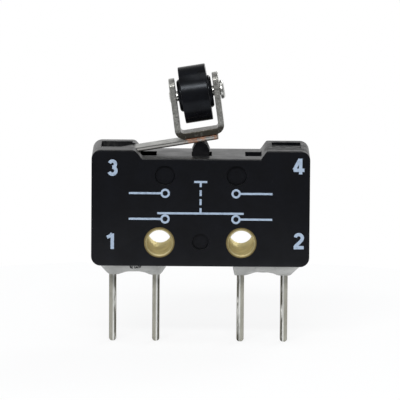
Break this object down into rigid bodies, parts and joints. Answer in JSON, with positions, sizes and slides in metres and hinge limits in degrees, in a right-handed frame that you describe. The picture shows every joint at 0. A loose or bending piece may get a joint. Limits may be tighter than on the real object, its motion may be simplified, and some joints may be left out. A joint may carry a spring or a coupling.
{
  "type": "snap-action micro switch",
  "caption": "Small sealed-terminal snap-action switch with a hinged lever carrying a roller, brass-lined fixing holes and thin solder legs.",
  "frame": {"origin": "midway between the axes of the two fixing holes, at mid-thickness of the case", "axes": "+X along the case from the lever's pin towards its free end, +Y from the cover to the rear face, +Z from the legs to the roller"},
  "size_m": [0.0252, 0.0094, 0.0325],
  "materials": {
    "case_black": "satin moulded black",
    "cover_black": "satin moulded black",
    "eyelet_brass": "rolled, slightly dull",
    "plunger_black": "matte moulded black",
    "spring_steel": "drawn wire and strip",
    "bridge_copper": "rolled copper alloy strip",
    "contact_silver": "bright silver alloy",
    "terminal_tin": "dull tin plating",
    "seal_resin": "cast resin, softly uneven",
    "pin_steel": "ground",
    "lever_steel": "satin rolled strip",
    "braze_copper": "thin flowed copper",
    "bracket_steel": "satin pressed sheet",
    "axle_steel": "turned",
    "roller_black": "smooth turned black"
  },
  "bodies": {
    "case": {"housing": "case_black", "cover": "cover_black", "eyelet_left": "eyelet_brass", "eyelet_right": "eyelet_brass", "terminal_1": "terminal_tin", "terminal_2": "terminal_tin", "terminal_3": "terminal_tin", "terminal_4": "terminal_tin", "fixed_contact_1": "contact_silver", "fixed_contact_2": "contact_silver", "fixed_contact_3": "contact_silver", "fixed_contact_4": "contact_silver", "terminal_seal_left": "seal_resin", "terminal_seal_right": "seal_resin", "lever_pin": "pin_steel", "return_spring": "spring_steel"},
    "lever_arm": {"lever": "lever_steel", "bracket_braze": "braze_copper", "roller_bracket": "bracket_steel", "roller_axle": "axle_steel"},
    "roller_wheel": {"roller": "roller_black"},
    "push_rod": {"plunger": "plunger_black"},
    "contact_arm": {"contact_bridge": "bridge_copper", "bridge_contact_left": "contact_silver", "bridge_contact_right": "contact_silver", "snap_spring_left": "spring_steel", "snap_spring_right": "spring_steel"}
  },
  "joints": [
    {"name": "lever_pivot", "type": "hinge", "parent": "case", "child": "lever_arm", "pos_m": [-0.0089, 0, 0.00933], "axis": [0, 1, 0], "range_deg": [0, 8], "stiffness_Nm_per_rad": 0.03, "springref_deg": -2.86},
    {"name": "plunger_slide", "type": "slide", "parent": "case", "child": "push_rod", "axis": [0, 0, 1], "range_m": [-0.00127, 0], "deforming": ["return_spring"]},
    {"name": "bridge_slide", "type": "slide", "parent": "case", "child": "contact_arm", "axis": [0, 0, 1], "range_m": [0, 0.0005], "deforming": ["snap_spring_left", "snap_spring_right"]},
    {"name": "roller_spin", "type": "hinge", "parent": "lever_arm", "child": "roller_wheel", "pos_m": [-0.0007, 0, 0.01683], "axis": [0.9866, 0, 0.1633], "continuous": true}
  ],
  "couplings": [
    {"joint": "plunger_slide", "follows": "lever_pivot", "m_per_rad": -0.00905},
    {"joint": "bridge_slide", "follows": "lever_pivot", "m_per_rad": 0.0035}
  ]
}
